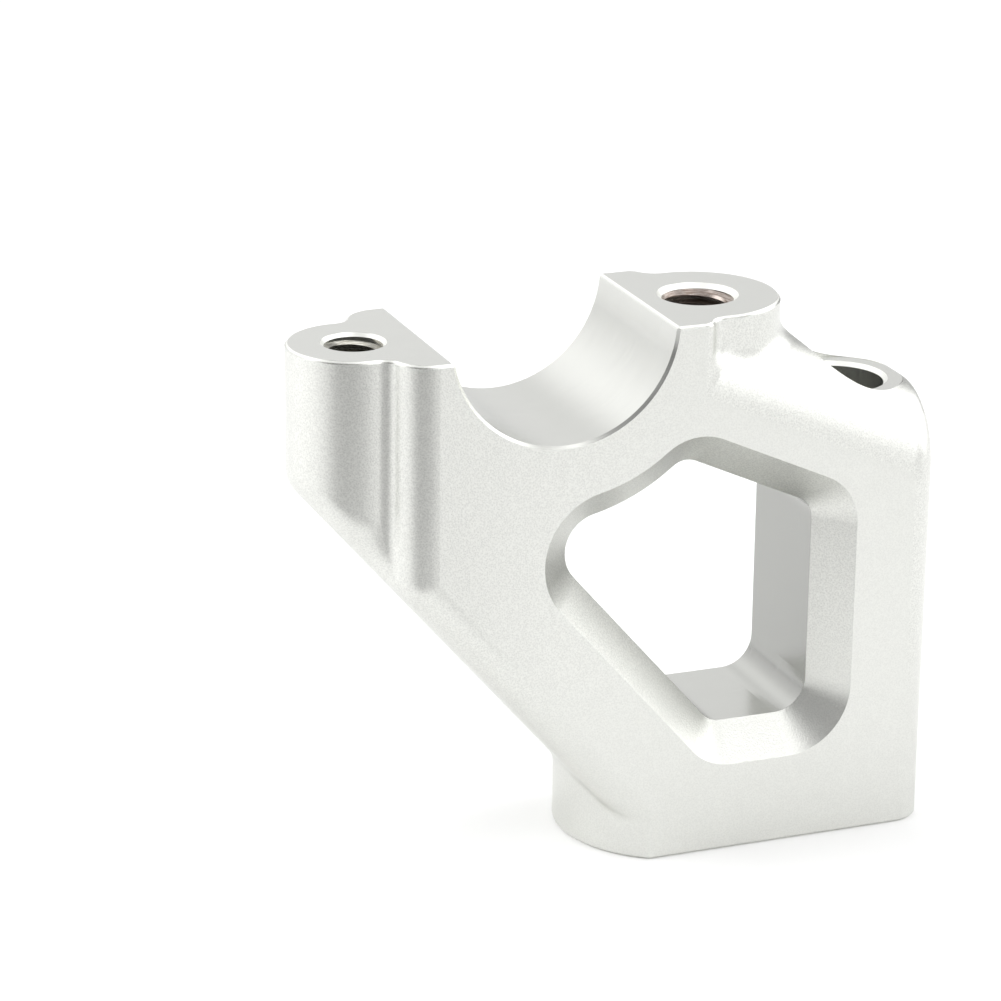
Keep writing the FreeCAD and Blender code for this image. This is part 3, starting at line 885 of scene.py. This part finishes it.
@dataclass(frozen=True)
class Lamp:
    """One soft area light that points at the riser, with angles in degrees, lengths in metres."""

    name: str
    azimuth: float
    elevation: float
    distance: float
    width: float
    height: float
    watts: float

    def build(self, aim: tuple[float, float, float]) -> bpy.types.Object:
        """Hang the lamp.

        Args:
            aim: Point in metres that the lamp faces.

        Returns:
            The lamp's object.
        """
        turn = math.radians(self.azimuth)
        away = np.array(direction(self.azimuth, self.elevation))
        side = np.array([-math.sin(turn), math.cos(turn), 0.0])
        rise = np.cross(away, side)
        data = bpy.data.lights.new(self.name, "AREA")
        data.shape = "RECTANGLE"
        data.size, data.size_y = self.width, self.height
        data.energy = self.watts
        lamp = bpy.data.objects.new(self.name, data)
        place = np.array(aim) + away * self.distance
        turned = np.column_stack([side, rise, away, place])
        lamp.matrix_world = Matrix(np.vstack([turned, [0.0, 0.0, 0.0, 1.0]]).tolist())
        bpy.context.scene.collection.objects.link(lamp)
        return lamp


@dataclass(frozen=True)
class Panel:
    """Broad soft panel far away, which lights the riser and shows in its metal.

    Angles are in degrees, and edge is the cosine of the angle between its middle and its rim.
    """

    azimuth: float
    elevation: float
    strength: float
    edge: float = 0.60

    def facing(self) -> tuple[float, float, float]:
        """Give the panel's direction.

        Returns:
            Unit vector from the riser to the panel's middle.
        """
        return direction(self.azimuth, self.elevation)


@dataclass
class Studio:
    """Pale floor, soft panels, and two soft lamps aimed at a point in the riser's middle."""

    floor_half: float = 3.0
    aim: tuple[float, float, float] = (0.0, 0.0, 0.04)
    panels: tuple[Panel, ...] = (
        Panel(70.0, 25.0, 0.496),
        Panel(80.0, 12.0, 0.51, 0.80),
        Panel(-15.0, 25.0, 0.244),
        Panel(0.0, 20.0, 2.35, 0.80),
        Panel(-60.0, 40.0, 1.57, 0.80),
        Panel(-75.0, 12.0, 1.01),
        Panel(-105.0, 40.0, 0.352),
        Panel(172.0, 22.0, 2.68, 0.80),
        Panel(140.0, 25.0, 1.21),
        Panel(0.0, 90.0, 0.118),
    )
    lamps: tuple[Lamp, ...] = (
        Lamp("top_lamp", 60.0, 78.0, 0.42, 0.36, 0.36, 0.796),
        Lamp("low_left_lamp", 150.0, 12.0, 0.40, 0.30, 0.14, 0.144),
    )

    def floor(self) -> bpy.types.Object:
        """Lay the floor.

        Returns:
            The floor's object.
        """
        mesh = bpy.data.meshes.new("studio_floor")
        half = self.floor_half
        corners = np.array([[-1, -1, 0], [1, -1, 0], [1, 1, 0], [-1, 1, 0]], float) * half
        mesh.from_pydata(corners.tolist(), [], [[0, 1, 2, 3]])
        mesh.materials.append(FloorFinish().make())
        floor = bpy.data.objects.new("studio_floor", mesh)
        bpy.context.scene.collection.objects.link(floor)
        return floor

    def surroundings(self) -> None:
        """Set the light that comes from all sides.

        The strength is the sum of the panels' strengths, each times a smooth step of the cosine
        between the view and the panel's direction: 0 at the panel's edge and 1 at its middle.
        """
        world = bpy.data.worlds.new("studio")
        bpy.context.scene.world = world
        world.use_nodes = True
        sheet = Sheet(world.node_tree)
        background = world.node_tree.nodes["Background"]
        view = sheet.node("ShaderNodeTexCoord").outputs["Generated"]
        total = 0.0
        for panel in self.panels:
            cosine = sheet.node("ShaderNodeVectorMath", operation="DOT_PRODUCT")
            sheet.feed(cosine.inputs[0], view)
            cosine.inputs[1].default_value = panel.facing()
            step = sheet.ramp(cosine.outputs["Value"], panel.edge, 1.0)
            total = sheet.maths("MULTIPLY_ADD", step, panel.strength, total)
        sheet.feed(background.inputs["Strength"], total)
        background.inputs["Color"].default_value = (1.0, 1.0, 1.0, 1.0)

    def build(self) -> None:
        """Set up floor, surroundings and lamps."""
        self.floor()
        self.surroundings()
        for lamp in self.lamps:
            lamp.build(self.aim)


@dataclass(frozen=True)
class Viewpoint:
    """Camera at the photograph's angle, with lens and sensor in millimetres, the rest in metres."""

    lens: float = 140.96
    sensor: float = 36.0
    near: float = 0.01
    place: tuple[float, float, float] = (-0.19931, -0.47254, 0.22887)
    right: tuple[float, float, float] = (0.93296, -0.35982, 0.01042)
    back: tuple[float, float, float] = (-0.34272, -0.87904, 0.33140)

    def build(self) -> bpy.types.Object:
        """Set the camera up.

        Returns:
            The camera's object.
        """
        data = bpy.data.cameras.new("photo_camera")
        data.lens = self.lens
        data.sensor_width = self.sensor
        data.sensor_fit = "HORIZONTAL"
        data.clip_start = self.near
        camera = bpy.data.objects.new("photo_camera", data)
        back = np.array(self.back) / np.linalg.norm(self.back)
        right = np.array(self.right) - back * np.dot(self.right, back)
        right /= np.linalg.norm(right)
        rise = np.cross(back, right)
        turned = np.column_stack([right, rise, back, np.array(self.place)])
        camera.matrix_world = Matrix(np.vstack([turned, [0.0, 0.0, 0.0, 1.0]]).tolist())
        bpy.context.scene.collection.objects.link(camera)
        bpy.context.scene.camera = camera
        return camera


def main() -> None:
    """Build the riser's pieces and the studio, and log the number of faces of each piece."""
    logging.basicConfig(level=logging.INFO, format="%(message)s")
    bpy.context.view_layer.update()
    groups = {group.name: group for group in (blast_grain(), tool_marks())}
    for piece in Riser().build(groups):
        LOG.info("piece %s: %d faces", piece.name, len(piece.data.polygons))
    Studio().build()
    Viewpoint().build()
    bpy.context.scene.view_settings.view_transform = "Standard"
    bpy.context.view_layer.update()


if __name__ == "__main__":
    main()
